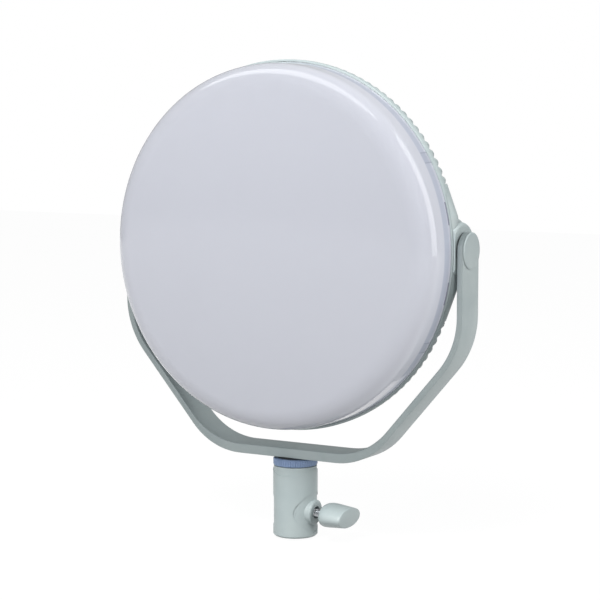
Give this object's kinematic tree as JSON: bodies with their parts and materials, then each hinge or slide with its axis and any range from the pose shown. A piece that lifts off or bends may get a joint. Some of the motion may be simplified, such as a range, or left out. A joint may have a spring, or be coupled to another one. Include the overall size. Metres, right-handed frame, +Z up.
{
  "type": "LED panel light",
  "caption": "Round soft-fronted LED panel light on a tilting yoke, with a knurled pan lock and a clamping receiver for a 5/8-inch stand stud.",
  "frame": {"origin": "centre of the receiver's bottom face, in the mouth of the stud bore", "axes": "+Z up along the receiver, -Y the way the diffuser faces, +X along the tilt axis towards the clamp knob"},
  "size_m": [0.2942, 0.0812, 0.3611],
  "materials": {
    "mint_paint": "satin mint-grey paint",
    "opal": "smooth opal",
    "white_plastic": "matt white",
    "dark_plastic": "fine matt",
    "grey_plastic": "fine matt",
    "clear_window": "smoked, glossy",
    "blue_anodised": "blue anodised, knurled",
    "plate_aluminium": "plain",
    "steel": "plain",
    "brass": "plain",
    "circuit_green": "board green",
    "circuit_white": "board white",
    "ferrite": "dark, rough"
  },
  "bodies": {
    "stand_end": {"receiver": "mint_paint", "pan_bolt": "steel"},
    "pan_lock": {"lock_ring": "blue_anodised"},
    "clamp_pad": {"clamp_shoe": "brass"},
    "clamp_handle": {"clamp_screw": "steel", "clamp_knob": "mint_paint"},
    "bracket": {"yoke": "mint_paint", "pan_bush": "dark_plastic", "pan_washer": "dark_plastic", "pivot_cap_right": "mint_paint", "pivot_cap_left": "mint_paint", "pivot_bush_right": "dark_plastic", "pivot_bush_left": "dark_plastic"},
    "lamp_head": {"front_diffuser": "opal", "front_ring": "mint_paint", "rear_housing": "mint_paint", "heat_plate": "plate_aluminium", "led_board": "circuit_white", "reflector_ring": "white_plastic", "driver_board": "circuit_green", "driver_transformer": "ferrite", "driver_choke": "ferrite", "driver_capacitor_1": "dark_plastic", "driver_capacitor_2": "dark_plastic", "board_standoff_1": "brass", "board_standoff_2": "brass", "board_standoff_3": "brass", "board_standoff_4": "brass", "control_board": "circuit_green", "control_panel": "grey_plastic", "display_window": "clear_window", "power_switch": "dark_plastic", "power_inlet": "dark_plastic", "data_socket": "steel", "panel_screw_1": "steel", "panel_screw_2": "steel", "panel_screw_3": "steel", "panel_screw_4": "steel", "plate_screw_1": "steel", "plate_screw_2": "steel", "plate_screw_3": "steel", "plate_screw_4": "steel", "pivot_bolt_right": "steel", "pivot_bolt_left": "steel", "friction_washer_right": "dark_plastic", "friction_washer_left": "dark_plastic", "pivot_insert_right": "brass", "pivot_insert_left": "brass"},
    "left_dial": {"dial_left": "dark_plastic"},
    "right_dial": {"dial_right": "dark_plastic"},
    "left_button": {"button_left": "dark_plastic"},
    "middle_button": {"button_middle": "dark_plastic"},
    "right_button": {"button_right": "dark_plastic"},
    "rocker": {"power_rocker": "dark_plastic"}
  },
  "joints": [
    {"name": "pan", "type": "hinge", "parent": "stand_end", "child": "bracket", "pos_m": [0, 0, 0.0615], "axis": [0, 0, 1], "continuous": true},
    {"name": "tilt", "type": "hinge", "parent": "bracket", "child": "lamp_head", "pos_m": [0, 0, 0.2238], "axis": [1, 0, 0], "continuous": true},
    {"name": "pan_lock_turn", "type": "hinge", "parent": "stand_end", "child": "pan_lock", "pos_m": [0, 0, 0.0575], "axis": [0, 0, 1], "range_deg": [0, 120]},
    {"name": "clamp_feed", "type": "slide", "parent": "stand_end", "child": "clamp_pad", "axis": [-0.999, 0, 0.0436], "range_m": [0, 0.006]},
    {"name": "clamp_turn", "type": "hinge", "parent": "clamp_pad", "child": "clamp_handle", "pos_m": [0.02997, 0, 0.01849], "axis": [-0.999, 0, 0.0436], "range_deg": [0, 1728]},
    {"name": "left_dial_turn", "type": "hinge", "parent": "lamp_head", "child": "left_dial", "pos_m": [-0.03584, 0.022, 0.22622], "axis": [0, 1, 0], "continuous": true},
    {"name": "right_dial_turn", "type": "hinge", "parent": "lamp_head", "child": "right_dial", "pos_m": [0.03584, 0.022, 0.22622], "axis": [0, 1, 0], "continuous": true},
    {"name": "left_button_press", "type": "slide", "parent": "lamp_head", "child": "left_button", "axis": [0, -1, 0], "range_m": [0, 0.0008], "stiffness_N_per_m": 400, "springref_m": -0.0005},
    {"name": "middle_button_press", "type": "slide", "parent": "lamp_head", "child": "middle_button", "axis": [0, -1, 0], "range_m": [0, 0.0008], "stiffness_N_per_m": 400, "springref_m": -0.0005},
    {"name": "right_button_press", "type": "slide", "parent": "lamp_head", "child": "right_button", "axis": [0, -1, 0], "range_m": [0, 0.0008], "stiffness_N_per_m": 400, "springref_m": -0.0005},
    {"name": "rocker_tip", "type": "hinge", "parent": "lamp_head", "child": "rocker", "pos_m": [-0.02408, 0.0174, 0.1901], "axis": [-1, 0, 0], "range_deg": [0, 12]}
  ],
  "couplings": [
    {"joint": "clamp_turn", "follows": "clamp_feed", "rad_per_m": 5026.5}
  ]
}
